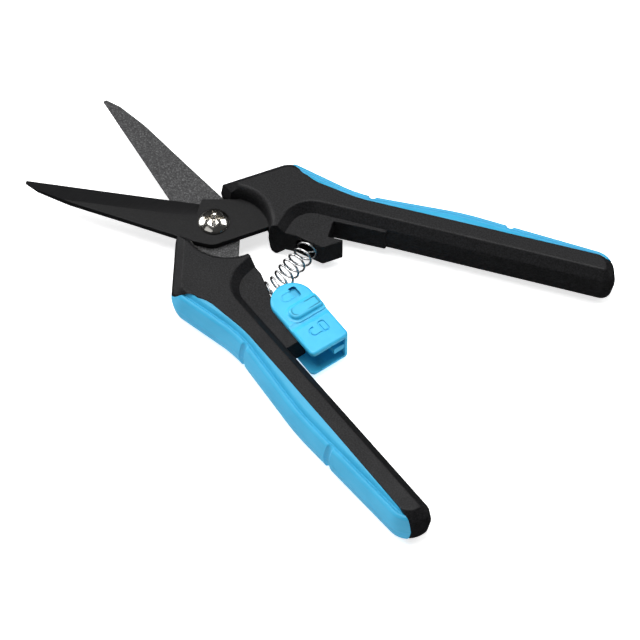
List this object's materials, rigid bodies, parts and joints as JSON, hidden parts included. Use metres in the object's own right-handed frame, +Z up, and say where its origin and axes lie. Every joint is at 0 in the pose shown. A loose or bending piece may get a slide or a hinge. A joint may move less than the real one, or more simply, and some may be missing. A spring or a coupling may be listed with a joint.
{
  "type": "floral snips",
  "caption": "Spring-opened pair of short pointed snips with overmoulded handles, a pivot screw and a sliding lock on the flange between the handles.",
  "frame": {"origin": "centre of the box of the open snips, on the surface that they lie on", "axes": "+X from the blades' side towards the handles' ends, along the middle of the open angle; +Y towards the upper half's handle; +Z up, along the pivot"},
  "size_m": [0.1533, 0.1024, 0.013],
  "materials": {
    "blade_coating": "dark grey non-stick coating, fine speckle",
    "handle_nylon": "moulded black nylon, fine spark-eroded grain",
    "grip_elastomer": "satin sky-blue overmoulded elastomer",
    "slider_plastic": "moulded sky-blue acetal",
    "screw_nickel": "nickel-plated dome head",
    "plated_steel": "zinc-plated",
    "insert_nylon": "natural nylon",
    "spring_steel": "drawn bright wire"
  },
  "bodies": {
    "lower_half": {"lower_blade": "blade_coating", "lower_handle_core": "handle_nylon", "lower_grip": "grip_elastomer", "pivot_screw": "screw_nickel", "pivot_washer": "plated_steel", "pivot_nut": "plated_steel", "nut_insert": "insert_nylon", "return_spring": "spring_steel"},
    "upper_half": {"upper_blade": "blade_coating", "upper_handle_core": "handle_nylon", "upper_grip": "grip_elastomer"},
    "lock_slider": {"lock_slider": "slider_plastic"}
  },
  "joints": [
    {"name": "handle_hinge", "type": "hinge", "parent": "lower_half", "child": "upper_half", "pos_m": [-0.02447, 0, 0], "axis": [0, 0, 1], "range_deg": [-39, 0], "stiffness_Nm_per_rad": 0.6, "springref_deg": 20.05, "deforming": ["return_spring"]},
    {"name": "lock_slide", "type": "slide", "parent": "lower_half", "child": "lock_slider", "axis": [-0.9426, 0.3338, 0], "range_m": [0, 0.004]}
  ]
}
